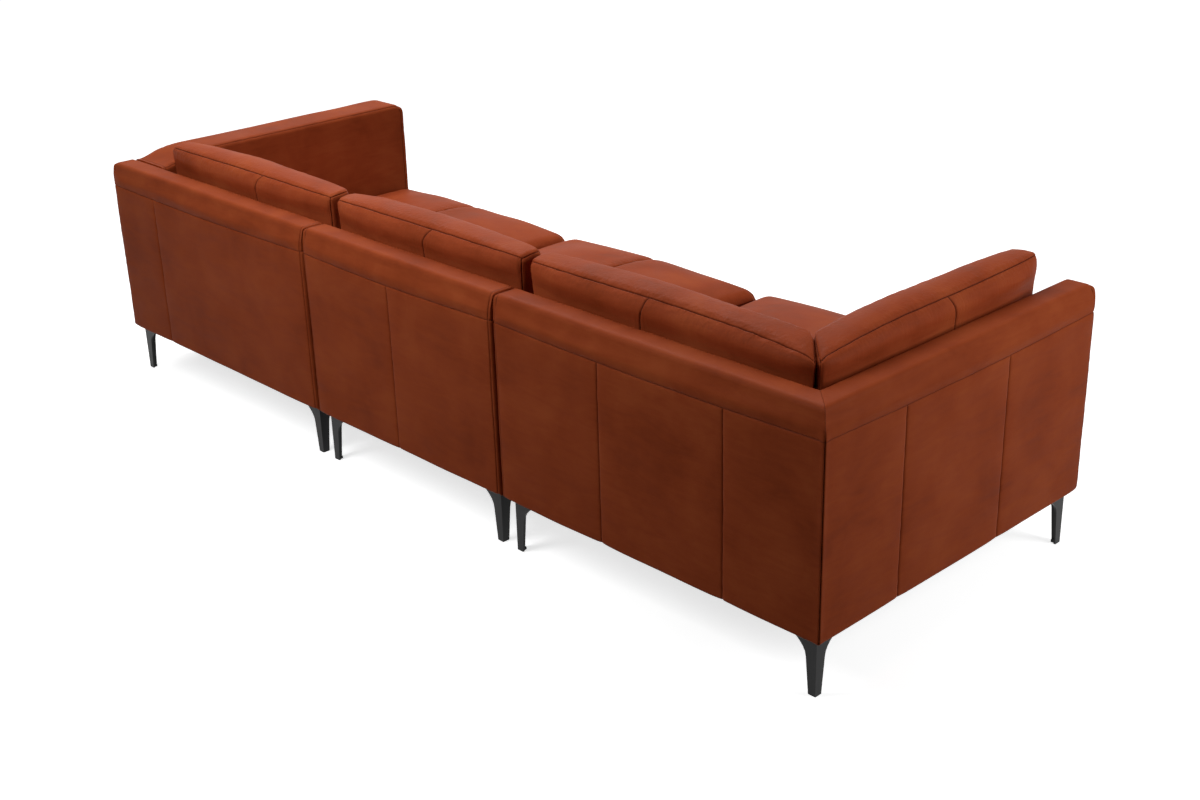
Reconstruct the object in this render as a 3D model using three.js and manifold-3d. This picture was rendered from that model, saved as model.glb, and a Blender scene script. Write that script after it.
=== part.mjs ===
// A leather corner sofa in three modules that stand side by side and hook together underneath.
// Millimetres, +Z up, floor at z 0. The seats face -Y, the corner is at -X and the arm is at +X.
// Each module is a timber base and wall frames, padded leather covers, a webbed deck, loose
// cushions and four cast legs. The origin is under the middle of the sofa, on the floor.
import * as THREE from 'three';
import { mergeVertices } from 'three/addons/utils/BufferGeometryUtils.js';
import Module from 'manifold-3d';

const wasm = await Module();
wasm.setup();

// Overall sizes
const moduleDepth = 950;
const cornerWidth = 950;
const middleWidth = 736;
const armModuleWidth = 965;
const moduleGap = 4;
const legHeight = 137;
const wallTop = 640;
const armTop = 672;
const wallThickness = 80;
const armThickness = 165;

// Clearances
const touch = 0.4;
const frameClearance = 1;
const cushionClearance = 4;
const overrun = 20;

// Padded covers: leather over foam, as thick as the padding
const outerPadding = 10;
const innerPadding = 16;
const topPadding = 24;
const armInnerPadding = 30;
const armTopPadding = 44;
const bandThickness = 14;

// Rounding of the covers
const wallOuterRound = 24;
const wallInnerRound = 20;
const hemRound = 12;
const uprightRound = 12;
const cornerWeltRound = 5;
const frontToeRound = 26;
const frontTopRound = 20;
const armOuterRound = 62;
const armInnerRound = 16;
const armFrontRound = 34;
const armRamp = 130;
const armRampRound = 50;
const roundSteps = 4;

// Timber frames
const timberWidth = 40;
const boardThickness = 48;
const windowBlock = 22;
const baseRailHeight = 95;
const baseMember = 34;
const cornerBlock = 62;
const bayPitch = 225;
const armCheek = 18;

// Deck webbing and dust cover
const strapWidth = 70;
const strapThickness = 2;
const strapPitch = 150;
const dustCoverThickness = 2;

// Seat cushions
const seatThickness = 165;
const seatRound = 34;
const seatForm = {
  topCrown: 33, bottomCrown: 0, endCrown: 0, borderSoftness: 7, drawIn: 7, endPinch: 0, cornerDrop: 0,
  channelDepth: 4, channelHalf: 12, widthShape: 'round', depthShape: 'full', flatFoot: false,
};
const seatSetback = 5;

// Back cushions
const backCushionThickness = 84;
const backCushionRound = 14;
const backSeamHeight = 706;
const backForm = {
  topCrown: 72, bottomCrown: 20, endCrown: 10, borderSoftness: 3, drawIn: 5, endPinch: 14, cornerDrop: 8,
  channelDepth: 0, channelHalf: 0, widthShape: 'plump', depthShape: 'round', flatFoot: true,
};
const sideCushionFrontGap = 92;

// Cushion mesh
const edgeShares = [0, 0.414];
const crownPowers = { round: 2.6, plump: 3.6, full: 6 };
const borderPower = 5;
const cornerPower = 4;
const cushionSteps = { along: 6, across: 6, thick: 2 };

// Cast legs
const legInset = 24;
const bladeThickness = 5;
const footWidth = 24;
const neckWidth = 35;
const neckHeight = 92;
const plateWidth = 82;
const plateThickness = 4;
const plateRound = 10;
const footPadHeight = 7;
const flareSteps = 6;

// Hooks that join the modules: a peg plate under one and a hat bracket under the next
const hookPlateWidth = 32;
const hookPlateThickness = 3;
const hookFlange = 46;
const hookEndSetback = 26;
const pegReach = 36;
const pegRadius = 5;
const pegHeight = 8;
const pegClearance = 1.5;
const hatDepth = 11;
const hatFoot = 20;
const hatGap = 1.5;
const hookSpacing = 430;
const roundSides = 16;

// Worked out from the sizes above
const totalWidth = cornerWidth + moduleGap + middleWidth + moduleGap + armModuleWidth;
const left = -totalWidth / 2;
const front = -moduleDepth / 2;
const back = moduleDepth / 2;
const shellBottom = legHeight;
const frameBottom = shellBottom + dustCoverThickness + touch;
const baseTop = frameBottom + baseRailHeight;
const deckTop = baseTop + touch + strapThickness;
const seatBottom = deckTop + touch;
const seatEdgeTop = seatBottom + seatThickness;
const innerBack = back - wallThickness;
const seatDepth = innerBack - cushionClearance - front - seatSetback;
const cornerSeatWidth = cornerWidth - wallThickness - cushionClearance - touch;
const cushionStand = backForm.bottomCrown + touch;
const footDepth = cushionStand + backCushionThickness - backCushionRound - cushionClearance;
const backCushionBottom = seatEdgeTop + seatRise(seatDepth, seatForm.depthShape) + touch;
const sideCushionBottom = seatEdgeTop + seatRise(cornerSeatWidth, seatForm.widthShape) + touch;
const frameBack = back - outerPadding - frameClearance - boardThickness;
const weldDistance = 1e-4;

/** How much of a crown's height stands at a share of the way from its middle to its edge. */
function arch(share, shape = 'round') {
  return 1 - Math.abs(share) ** crownPowers[shape];
}

/** How high a seat's crown stands where a standing cushion's foot ends, across that span. */
function seatRise(span, shape) {
  return seatForm.topCrown * arch(1 - (2 * footDepth) / span, shape);
}

const finishes = {
  leather: { color: '#7f3a26', roughness: 0.46, metalness: 0 },
  castMetal: { color: '#1b1c1e', roughness: 0.38, metalness: 0.7 },
  steel: { color: '#8d9196', roughness: 0.4, metalness: 0.9 },
  timber: { color: '#c8a878', roughness: 0.75, metalness: 0 },
  webbing: { color: '#3a342e', roughness: 0.9, metalness: 0 },
  dustCloth: { color: '#1d1d1f', roughness: 0.95, metalness: 0 },
};

const X = new THREE.Vector3(1, 0, 0);
const Y = new THREE.Vector3(0, 1, 0);
const Z = new THREE.Vector3(0, 0, 1);

// Which way an outline's flat sheet lies and which way it is pushed
const planBasis = new THREE.Matrix4().makeBasis(X, Y, Z);
const sectionBasis = new THREE.Matrix4().makeBasis(Y, Z, X);
const elevationBasis = new THREE.Matrix4().makeBasis(X, Z, Y.clone().negate());

/** A named mesh in one of the finishes. */
function piece(name, geometry, finish) {
  const mesh = new THREE.Mesh(geometry, new THREE.MeshStandardMaterial(finishes[finish]));
  mesh.name = name;
  return mesh;
}

/** A group with its pieces, turned about the upright and set in place. */
function assembly(pieces, { x = 0, y = 0, z = 0, turn = 0 } = {}) {
  const group = new THREE.Group();
  group.add(...pieces);
  group.position.set(x, y, z);
  group.rotation.z = turn;
  return group;
}

/** A solid for cutting and joining, from a closed geometry. */
function toSolid(geometry) {
  const bare = geometry.clone();
  bare.deleteAttribute('normal');
  bare.deleteAttribute('uv');
  const merged = mergeVertices(bare, weldDistance);
  return new wasm.Manifold(new wasm.Mesh({
    numProp: 3,
    vertProperties: merged.attributes.position.array,
    triVerts: new Uint32Array(merged.index.array),
  }));
}

/** A geometry from a solid that was cut or joined. */
function toGeometry(solid) {
  const { vertProperties, triVerts } = solid.getMesh();
  const geometry = new THREE.BufferGeometry();
  geometry.setAttribute('position', new THREE.BufferAttribute(new Float32Array(vertProperties), 3));
  geometry.setIndex(new THREE.BufferAttribute(new Uint32Array(triVerts), 1));
  geometry.computeVertexNormals();
  return geometry;
}

/** A straight block between two corners. */
function block([x0, y0, z0], [x1, y1, z1]) {
  const geometry = new THREE.BoxGeometry(x1 - x0, y1 - y0, z1 - z0);
  return toSolid(geometry.translate((x0 + x1) / 2, (y0 + y1) / 2, (z0 + z1) / 2));
}

/** A closed outline through corners [x, y, reach], each softened over its reach. */
function outline(corners) {
  const shape = new THREE.Shape();
  const at = ([x, y]) => new THREE.Vector2(x, y);
  corners.forEach((corner, i) => {
    const here = at(corner);
    const reach = corner[2] ?? 0;
    const before = at(corners[(i + corners.length - 1) % corners.length]);
    const after = at(corners[(i + 1) % corners.length]);
    const start = before.sub(here).setLength(reach).add(here);
    const end = after.sub(here).setLength(reach).add(here);
    if (i === 0) shape.moveTo(start.x, start.y);
    else shape.lineTo(start.x, start.y);
    if (reach > 0) shape.quadraticCurveTo(here.x, here.y, end.x, end.y);
  });
  shape.closePath();
  return shape;
}

/** A rectangle's corners from one point to another, with reaches from the low left on round. */
function rectangle([x0, y0], [x1, y1], reaches = [0, 0, 0, 0]) {
  const [a, b, c, d] = reaches;
  return [[x0, y0, a], [x1, y0, b], [x1, y1, c], [x0, y1, d]];
}

/** A flat outline pushed square to its sheet, over depth. */
function prism(shape, depth, basis = planBasis) {
  const settings = { depth, bevelEnabled: false, curveSegments: roundSteps };
  return new THREE.ExtrudeGeometry(shape, settings).applyMatrix4(basis);
}

/** A block that its plan, section and elevation outlines bound together. */
function threeViewSolid({ plan, section, elevation, length, thickness, height }) {
  const planSolid = toSolid(prism(outline(plan), height));
  const sectionSolid = toSolid(prism(outline(section), length, sectionBasis));
  const elevationSolid = toSolid(prism(outline(elevation), thickness, elevationBasis)
    .translate(0, thickness, 0));
  return planSolid.intersect(sectionSolid).intersect(elevationSolid);
}

/** A board frame in a sheet: an outline with windows between its members, blocks in the corners. */
function ladder(length, width, member, blockReach) {
  const shape = outline(rectangle([0, 0], [length, width]));
  const bays = Math.max(1, Math.round((length - member) / bayPitch));
  const pitch = (length - member) / bays;
  for (let bay = 0; bay < bays; bay += 1) {
    const x0 = member + bay * pitch;
    const x1 = x0 + pitch - member;
    const y0 = member;
    const y1 = width - member;
    const cut = blockReach;
    shape.holes.push(outline([
      [x0 + cut, y0], [x1 - cut, y0], [x1, y0 + cut], [x1, y1 - cut],
      [x1 - cut, y1], [x0 + cut, y1], [x0, y1 - cut], [x0, y0 + cut],
    ]));
  }
  return shape;
}

/** A wall cover: padded leather over a hollow that the wall's frame fills from below.
 *  Length runs along X, the outer face is at y 0 and the inner face at the thickness.
 *  Below the deck the inner face is cut away for the base frame, and with footOpen the end too. */
function wallCover({
  length, thickness, height, inner = innerPadding, top = topPadding,
  mitre = '', outerRound = wallOuterRound, innerRound = wallInnerRound, elevation, footOpen = false,
}) {
  const plan = {
    '': rectangle([0, 0], [length, thickness], [uprightRound, uprightRound, 0, 0]),
    start: [[touch, 0, cornerWeltRound], [length, 0, uprightRound], [length, thickness, 0],
      [thickness + touch, thickness]],
    end: [[0, 0, uprightRound], [length - touch, 0, cornerWeltRound],
      [length - thickness - touch, thickness], [0, thickness, 0]],
  }[mitre];
  const section = rectangle([0, 0], [thickness, height], [hemRound, 0, innerRound, outerRound]);
  const body = threeViewSolid({
    plan, section, elevation: elevation ?? rectangle([0, 0], [length, height]), length, thickness, height,
  });
  const x0 = mitre === 'start' ? -overrun : outerPadding;
  const x1 = mitre === 'end' ? length + overrun : length - outerPadding;
  const hollow = block([x0, outerPadding, -overrun], [x1, thickness - inner, height - top]);
  const footHeight = baseTop - shellBottom + touch;
  const footEnd = footOpen ? length + overrun : x1;
  const foot = block([x0, outerPadding, -overrun], [footEnd, thickness + overrun, footHeight]);
  return body.subtract(hollow.add(foot));
}

/** A timber wall frame that stands in a cover's hollow, its foot beside the base frame. */
function wallFrame(length, height) {
  const board = prism(ladder(length, height, timberWidth, windowBlock), boardThickness, elevationBasis);
  return board.translate(0, boardThickness, 0);
}

/** The arm's frame: a board top on two windowed cheeks, open underneath and at the ends. */
function armFrame(length, height, width) {
  const cheeks = toSolid(prism(ladder(length, height, timberWidth, windowBlock), width,
    elevationBasis).translate(0, width, 0));
  const tunnel = block([timberWidth, armCheek, -overrun],
    [length - timberWidth, width - armCheek, height - timberWidth]);
  return toGeometry(cheeks.subtract(tunnel));
}

/** The base frame: rails on edge, cross members and blocks in the corners for the legs. */
function baseFrame(length, depth) {
  return prism(ladder(length, depth, baseMember, cornerBlock / 2), baseRailHeight);
}

/** Elastic webbing: straps both ways, stretched over the base frame and joined where they cross. */
function webbing(length, depth) {
  const across = Math.round((length - strapWidth) / strapPitch);
  const along = Math.round((depth - strapWidth) / strapPitch);
  const straps = [];
  for (let i = 0; i <= across; i += 1) {
    const x = (i * (length - strapWidth)) / across;
    straps.push(block([x, 0, 0], [x + strapWidth, depth, strapThickness]));
  }
  for (let j = 0; j <= along; j += 1) {
    const y = (j * (depth - strapWidth)) / along;
    straps.push(block([0, y, 0], [length, y + strapWidth, strapThickness]));
  }
  return toGeometry(straps.reduce((sheet, strap) => sheet.add(strap)));
}

/** A padded strip of leather over a base rail. */
function band(length, thickness) {
  const height = baseTop - shellBottom;
  return toGeometry(threeViewSolid({
    plan: rectangle([0, 0], [length, thickness]),
    section: rectangle([0, 0], [thickness, height], [hemRound / 2, 0, 0, hemRound / 2]),
    elevation: rectangle([0, 0], [length, height]),
    length, thickness, height,
  }));
}

/** Places of a cushion's mesh lines along one side, close together round its edges. */
function stops(half, radius, steps, extra = []) {
  const edges = edgeShares.map((share) => half - radius * (1 - share));
  const inside = [];
  for (let i = 1; i < steps; i += 1) {
    inside.push(-half + radius + (2 * (half - radius) * i) / steps);
  }
  const all = [half, ...edges, -half, ...edges.map((edge) => -edge), ...inside, ...extra];
  return [...new Set(all)].sort((a, b) => a - b);
}

/** A closed box surface with its lines at the given places on each axis. */
function griddedBox(lines) {
  const counts = lines.map((line) => line.length - 1);
  const geometry = new THREE.BoxGeometry(...counts, ...counts);
  const position = geometry.attributes.position;
  for (let i = 0; i < position.count; i += 1) {
    lines.forEach((line, axis) => {
      const index = Math.round(position.getComponent(i, axis) + counts[axis] / 2);
      position.setComponent(i, axis, line[index]);
    });
  }
  geometry.deleteAttribute('normal');
  geometry.deleteAttribute('uv');
  return mergeVertices(geometry, weldDistance);
}

/** A box cushion: crowned face, softened edges, borders that draw in between the corners.
 *  Width runs along X and depth along Y; the crowned face looks to +Z, and z 0 is its back.
 *  mitre -1 or 1 slants the end at -X or +X so that the face is shorter than the back. */
function cushion({ width, depth, thickness, radius, form, mitre = 0 }) {
  const half = new THREE.Vector3(width / 2, depth / 2, thickness / 2);
  const groove = form.channelHalf > 0 ? [-form.channelHalf, 0, form.channelHalf] : [];
  const geometry = griddedBox([
    stops(half.x, radius, cushionSteps.along, groove),
    stops(half.y, radius, cushionSteps.across),
    stops(half.z, radius, cushionSteps.thick),
  ]);
  const core = half.clone().subScalar(radius);
  const position = geometry.attributes.position;
  const p = new THREE.Vector3();
  for (let i = 0; i < position.count; i += 1) {
    p.fromBufferAttribute(position, i);
    const inner = p.clone().clamp(core.clone().negate(), core);
    const out = p.clone().sub(inner);
    if (out.lengthSq() > 0) out.setLength(radius);
    p.copy(inner).add(out);
    const [u, v, w] = [p.x / half.x, p.y / half.y, p.z / half.z];
    const crown = arch(u, form.widthShape) * arch(v, form.depthShape);
    const seam = form.channelHalf > 0 ? Math.max(0, 1 - Math.abs(p.x) / form.channelHalf) : 0;
    const corner = Math.abs(u) ** cornerPower;
    p.z += w * crown * (w > 0 ? form.topCrown : form.bottomCrown);
    p.z -= w > 0 ? w * seam * form.channelDepth : 0;
    p.z -= w * corner * form.endPinch * (w > 0 ? 1 : 0.5);
    const soft = form.borderSoftness * w * w;
    p.x -= Math.sign(u) * Math.abs(u) ** borderPower * (soft + form.drawIn * (1 - v * v));
    const sag = form.flatFoot ? form.cornerDrop * corner : form.drawIn * (1 - u * u);
    if (v > 0 || !form.flatFoot) p.y -= Math.sign(v) * Math.abs(v) ** borderPower * (soft + sag);
    if (v > 0) p.y += form.endCrown * v * (1 - w * w) * arch(u);
    const slant = (p.z + half.z) * (1 + mitre * u) / 2;
    p.x -= mitre * slant;
    position.setXYZ(i, p.x, p.y, p.z + half.z);
  }
  geometry.computeVertexNormals();
  return geometry;
}

/** One blade of a cast leg, upright in X and Z, flaring from its neck out to the plate. */
function legBlade() {
  const shape = new THREE.Shape();
  const flareTop = legHeight - plateThickness - touch;
  shape.moveTo(0, 0);
  shape.lineTo(footWidth, 0);
  shape.lineTo(neckWidth, neckHeight);
  shape.quadraticCurveTo(neckWidth + bladeThickness, flareTop, plateWidth - plateRound, flareTop);
  shape.lineTo(plateWidth - plateRound, flareTop + plateThickness / 2);
  shape.lineTo(0, flareTop + plateThickness / 2);
  shape.closePath();
  const settings = { depth: bladeThickness, bevelEnabled: false, curveSegments: flareSteps };
  return new THREE.ExtrudeGeometry(shape, settings).applyMatrix4(elevationBasis)
    .translate(0, bladeThickness, 0);
}

/** A cast leg: two blades at a right angle under a plate, closed by a square pad at the foot. */
function castLeg() {
  const along = legBlade();
  const across = legBlade().rotateZ(Math.PI / 2).translate(bladeThickness, 0, 0);
  const plateShape = outline(rectangle([0, 0], [plateWidth, plateWidth],
    [plateRound / 2, plateRound, plateRound, plateRound]));
  const plate = prism(plateShape, plateThickness).translate(0, 0, legHeight - plateThickness - touch);
  const pad = block([0, 0, 0], [footWidth, footWidth, footPadHeight]);
  return toGeometry(toSolid(along).add(toSolid(across)).add(toSolid(plate)).add(pad));
}

/** A peg plate: screwed under one module, it steps down and carries its peg under the next.
 *  The step is at x 0 and the peg lies towards +X. */
function pegPlate() {
  const top = shellBottom - touch;
  const low = top - hatDepth - hatGap - hookPlateThickness;
  const side = hookPlateWidth / 2;
  const flange = block([-hookFlange, -side, top - hookPlateThickness], [0, side, top]);
  const web = block([-hookPlateThickness, -side, low], [0, side, top]);
  const run = hookEndSetback + moduleGap + pegReach + hookPlateWidth / 2;
  const tongue = block([-hookPlateThickness, -side, low], [run, side, low + hookPlateThickness]);
  const peg = new THREE.CylinderGeometry(pegRadius, pegRadius, pegHeight + hookPlateThickness, roundSides);
  peg.rotateX(Math.PI / 2);
  peg.translate(run - hookPlateWidth / 2, 0, low + (hookPlateThickness + pegHeight) / 2 + touch);
  return toGeometry(flange.add(web).add(tongue).add(toSolid(peg)));
}

/** A hat bracket: screwed under a module, its raised web has the hole that drops on the peg. */
function hatBracket() {
  const top = shellBottom - touch;
  const side = hookPlateWidth / 2;
  const wide = side + hatFoot;
  const low = top - hatDepth;
  const profile = outline([
    [-wide, top - hookPlateThickness], [-side - hookPlateThickness, top - hookPlateThickness],
    [-side - hookPlateThickness, low], [side + hookPlateThickness, low],
    [side + hookPlateThickness, top - hookPlateThickness], [wide, top - hookPlateThickness],
    [wide, top], [side, top], [side, low + hookPlateThickness], [-side, low + hookPlateThickness],
    [-side, top], [-wide, top],
  ]);
  const hat = prism(profile, hookPlateWidth, sectionBasis).translate(-side, 0, 0);
  const hole = new THREE.CylinderGeometry(pegRadius + pegClearance, pegRadius + pegClearance,
    2 * hatDepth, roundSides);
  hole.rotateX(Math.PI / 2).translate(0, 0, low);
  return toGeometry(toSolid(hat).subtract(toSolid(hole)));
}

/** The four legs of a module that spans x0 to x1, named from the back left round. */
function moduleLegs(name, x0, x1) {
  const places = [
    ['back_left', x0 + legInset, back - legInset, -Math.PI / 2],
    ['back_right', x1 - legInset, back - legInset, Math.PI],
    ['front_right', x1 - legInset, front + legInset, Math.PI / 2],
    ['front_left', x0 + legInset, front + legInset, 0],
  ];
  return places.map(([corner, x, y, turn]) => (
    assembly([piece(`${name}_leg_${corner}`, castLeg(), 'castMetal')], { x, y, turn })
  ));
}

/** A module's base frame, from x0 to x1, and the webbing over it between its covers. */
function platform(name, [x0, x1], [deckX0, deckX1]) {
  const y0 = front + bandThickness + frameClearance;
  const frameDepth = frameBack - touch - y0;
  const deckDepth = innerBack - touch - y0;
  const frame = baseFrame(x1 - x0, frameDepth);
  const deck = webbing(deckX1 - deckX0, deckDepth);
  return assembly([
    assembly([piece(`${name}_base_frame`, frame, 'timber')], { x: x0, z: frameBottom }),
    assembly([piece(`${name}_webbing`, deck, 'webbing')], { x: deckX0, z: baseTop + touch }),
  ], { y: y0 });
}

/** The cloth under a module, inside the hems of its covers and bands. */
function dustCover(name, x0, x1) {
  const y0 = front + bandThickness + frameClearance;
  const y1 = back - outerPadding - frameClearance;
  const sheet = prism(outline(rectangle([0, 0], [x1 - x0, y1 - y0])), dustCoverThickness);
  return assembly([piece(`${name}_dust_cover`, sheet, 'dustCloth')], { x: x0, y: y0, z: shellBottom });
}

/** A seat cushion between x0 and x1, from the front to the back wall. */
function seatCushion(name, x0, x1) {
  const geometry = cushion({
    width: x1 - x0, depth: seatDepth, thickness: seatThickness, radius: seatRound, form: seatForm,
  });
  return assembly([piece(`${name}_seat_cushion`, geometry, 'leather')],
    { x: (x0 + x1) / 2, y: front + seatSetback + seatDepth / 2, z: seatBottom });
}

/** A cushion that stands on the seat, width centred at x 0, the edges of its back at y 0. */
function standingCushion(name, width, bottom, mitre) {
  const height = backSeamHeight - bottom;
  const geometry = cushion({
    width, depth: height, thickness: backCushionThickness, radius: backCushionRound,
    form: backForm, mitre,
  });
  const mesh = piece(name, geometry, 'leather');
  mesh.rotation.x = Math.PI / 2;
  mesh.position.z = bottom + height / 2;
  return mesh;
}

/** The back cushion between x0 and x1 against the back wall. */
function backCushion(name, x0, x1, mitre = 0) {
  return assembly([standingCushion(`${name}_back_cushion`, x1 - x0, backCushionBottom, mitre)],
    { x: (x0 + x1) / 2, y: innerBack - cushionStand });
}

/** The back wall of a module: its cover and the frame inside, from x0 to x1. */
function backWall(name, x0, x1, mitre = '') {
  const height = wallTop - shellBottom;
  const length = x1 - x0;
  const inset = outerPadding + frameClearance;
  const frameHeight = wallTop - topPadding - frameClearance - frameBottom;
  const frameLength = length - 2 * inset;
  const cover = toGeometry(wallCover({ length, thickness: wallThickness, height, mitre }));
  return assembly([
    assembly([piece(`${name}_back_cover`, cover, 'leather')], { z: shellBottom }),
    assembly([piece(`${name}_back_frame`, wallFrame(frameLength, frameHeight), 'timber')],
      { x: inset, y: inset, z: frameBottom }),
  ], { x: x1, y: back, turn: Math.PI });
}

/** The corner module's side wall, mitred into the back wall along the corner welt. */
function sideWall(x0) {
  const height = wallTop - shellBottom;
  const inset = outerPadding + frameClearance;
  const start = inset + boardThickness + touch;
  const frameHeight = wallTop - topPadding - frameClearance - frameBottom;
  const frameLength = moduleDepth - start - inset;
  const elevation = rectangle([0, 0], [moduleDepth, height], [0, frontToeRound, frontTopRound, 0]);
  const cover = toGeometry(wallCover({
    length: moduleDepth, thickness: wallThickness, height, mitre: 'start', elevation,
  }));
  return assembly([
    assembly([piece('corner_side_cover', cover, 'leather')], { z: shellBottom }),
    assembly([piece('corner_side_frame', wallFrame(frameLength, frameHeight), 'timber')],
      { x: start, y: inset, z: frameBottom }),
  ], { x: x0, y: back, turn: -Math.PI / 2 });
}

/** The arm, from the front to the back wall's inner face, outer face at x1. */
function arm(x1) {
  const height = armTop - shellBottom;
  const length = moduleDepth - wallThickness - touch;
  const inset = outerPadding + frameClearance;
  const drop = armTop - wallTop;
  const elevation = [
    [0, 0, frontToeRound], [length, 0], [length, height - drop],
    [length - armRamp, height, armRampRound], [0, height, armFrontRound],
  ];
  const cover = toGeometry(wallCover({
    length, thickness: armThickness, height, inner: armInnerPadding, top: armTopPadding,
    outerRound: armOuterRound, innerRound: armInnerRound, elevation, footOpen: true,
  }));
  const frameWidth = armThickness - outerPadding - armInnerPadding - 2 * frameClearance;
  const frameHeight = armTop - armTopPadding - frameClearance - frameBottom;
  const frame = armFrame(length - 2 * inset, frameHeight, frameWidth);
  return assembly([
    assembly([piece('arm_side_cover', cover, 'leather')], { z: shellBottom }),
    assembly([piece('arm_side_frame', frame, 'timber')], { x: inset, y: inset, z: frameBottom }),
  ], { x: x1, y: front, turn: Math.PI / 2 });
}

/** The band over the front rail, from x0 to x1. */
function frontBand(name, x0, x1) {
  return assembly([piece(`${name}_front_band`, band(x1 - x0, bandThickness), 'leather')],
    { x: x0, y: front, z: shellBottom });
}

/** The band over an end rail that faces a neighbour; side -1 faces -X and side 1 faces +X. */
function endBand(name, x, side) {
  const length = moduleDepth - wallThickness - bandThickness - 2 * touch;
  const label = side < 0 ? 'left' : 'right';
  const y = side < 0 ? innerBack - touch : front + bandThickness + touch;
  return assembly([piece(`${name}_${label}_band`, band(length, bandThickness), 'leather')],
    { x, y, z: shellBottom, turn: side * Math.PI / 2 });
}

/** The hooks across the gap at x: peg plates under the right module, hats under the left one. */
function hooks(x, pegOwner, hatOwner) {
  const step = x + moduleGap / 2 + hookEndSetback;
  const pegX = x - moduleGap / 2 - pegReach;
  const rows = [['back', hookSpacing / 2], ['front', -hookSpacing / 2]];
  const pegs = rows.map(([row, y]) => (
    assembly([piece(`${pegOwner}_peg_plate_${row}`, pegPlate(), 'steel')], { x: step, y, turn: Math.PI })
  ));
  const hats = rows.map(([row, y]) => (
    assembly([piece(`${hatOwner}_hat_bracket_${row}`, hatBracket(), 'steel')], { x: pegX, y })
  ));
  return [...pegs, ...hats];
}

/** The module at -X, with walls at its back and its side and two mitred back cushions. */
function cornerModule(x0) {
  const x1 = x0 + cornerWidth;
  const inner = x0 + outerPadding + frameClearance + boardThickness + touch;
  const wall = x0 + wallThickness;
  const openEnd = x1 - bandThickness - frameClearance;
  const sideLength = innerBack - cushionStand - (front + sideCushionFrontGap);
  const side = assembly([standingCushion('corner_side_cushion', sideLength, sideCushionBottom, 1)], {
    x: wall + cushionStand,
    y: innerBack - cushionStand - sideLength / 2 - touch,
    turn: Math.PI / 2,
  });
  return assembly([
    backWall('corner', x0, x1, 'end'),
    sideWall(x0),
    frontBand('corner', wall + touch, x1),
    endBand('corner', x1, 1),
    platform('corner', [inner, openEnd], [wall + touch, openEnd]),
    dustCover('corner', x0 + outerPadding + frameClearance, openEnd),
    seatCushion('corner', wall + cushionClearance, x1 - touch),
    backCushion('corner', wall + cushionStand, x1 - cushionClearance, -1),
    side,
    ...moduleLegs('corner', x0, x1),
  ]);
}

/** The armless module in the middle. */
function middleModule(x0) {
  const x1 = x0 + middleWidth;
  const inset = bandThickness + frameClearance;
  return assembly([
    backWall('middle', x0, x1),
    frontBand('middle', x0, x1),
    endBand('middle', x0, -1),
    endBand('middle', x1, 1),
    platform('middle', [x0 + inset, x1 - inset], [x0 + inset, x1 - inset]),
    dustCover('middle', x0 + inset, x1 - inset),
    seatCushion('middle', x0 + touch, x1 - touch),
    backCushion('middle', x0 + cushionClearance, x1 - cushionClearance),
    ...moduleLegs('middle', x0, x1),
  ]);
}

/** The module at +X, which ends in the arm. */
function armModule(x0) {
  const x1 = x0 + armModuleWidth;
  const inset = bandThickness + frameClearance;
  const armFace = x1 - armThickness;
  const frameFace = x1 - armThickness + armInnerPadding + frameClearance;
  return assembly([
    backWall('arm', x0, x1),
    arm(x1),
    frontBand('arm', x0, armFace - touch),
    endBand('arm', x0, -1),
    platform('arm', [x0 + inset, frameFace - touch], [x0 + inset, armFace - touch]),
    dustCover('arm', x0 + inset, x1 - outerPadding - frameClearance),
    seatCushion('arm', x0 + touch, armFace - cushionClearance),
    backCushion('arm', x0 + cushionClearance, armFace - cushionClearance),
    ...moduleLegs('arm', x0, x1),
  ]);
}

const middleStart = left + cornerWidth + moduleGap;
const armStart = middleStart + middleWidth + moduleGap;

const sofa = assembly([
  cornerModule(left),
  middleModule(middleStart),
  armModule(armStart),
  ...hooks(middleStart - moduleGap / 2, 'middle', 'corner'),
  ...hooks(armStart - moduleGap / 2, 'arm', 'middle'),
]);

export default sofa;
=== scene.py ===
"""The look of a leather corner sofa in three modules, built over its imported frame.

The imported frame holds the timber, the webbing, the dust cloths and the hooks, which get their
finishes here. What shows is made here: the padded covers, the bands, the cushions and the legs.
Lengths are in metres. +X runs from the corner to the arm, +Y to the back wall and +Z up.
"""

import logging
import math
from dataclasses import dataclass, field
from enum import Enum
from typing import Iterable, Sequence

import bmesh
import bpy
import numpy as np
from mathutils import Matrix, Vector


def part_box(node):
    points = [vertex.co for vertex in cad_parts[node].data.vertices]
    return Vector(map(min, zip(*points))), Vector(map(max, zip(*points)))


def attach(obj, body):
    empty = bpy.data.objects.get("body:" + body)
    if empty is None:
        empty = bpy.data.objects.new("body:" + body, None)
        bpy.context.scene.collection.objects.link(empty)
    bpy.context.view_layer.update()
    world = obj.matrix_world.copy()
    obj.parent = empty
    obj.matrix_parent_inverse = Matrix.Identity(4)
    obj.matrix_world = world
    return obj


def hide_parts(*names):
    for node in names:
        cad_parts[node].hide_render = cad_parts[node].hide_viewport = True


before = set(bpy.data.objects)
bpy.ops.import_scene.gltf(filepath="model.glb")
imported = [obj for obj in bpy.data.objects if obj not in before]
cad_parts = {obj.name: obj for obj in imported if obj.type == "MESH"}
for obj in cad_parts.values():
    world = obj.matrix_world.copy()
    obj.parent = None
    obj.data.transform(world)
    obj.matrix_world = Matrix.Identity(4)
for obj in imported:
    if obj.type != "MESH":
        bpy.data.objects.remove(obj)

log = logging.getLogger("corner_sofa")

MM = 0.001
FAR = 10.0
ON_FACE = 0.1 * MM


# ---- Small tools for points, grids and pieces


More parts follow.
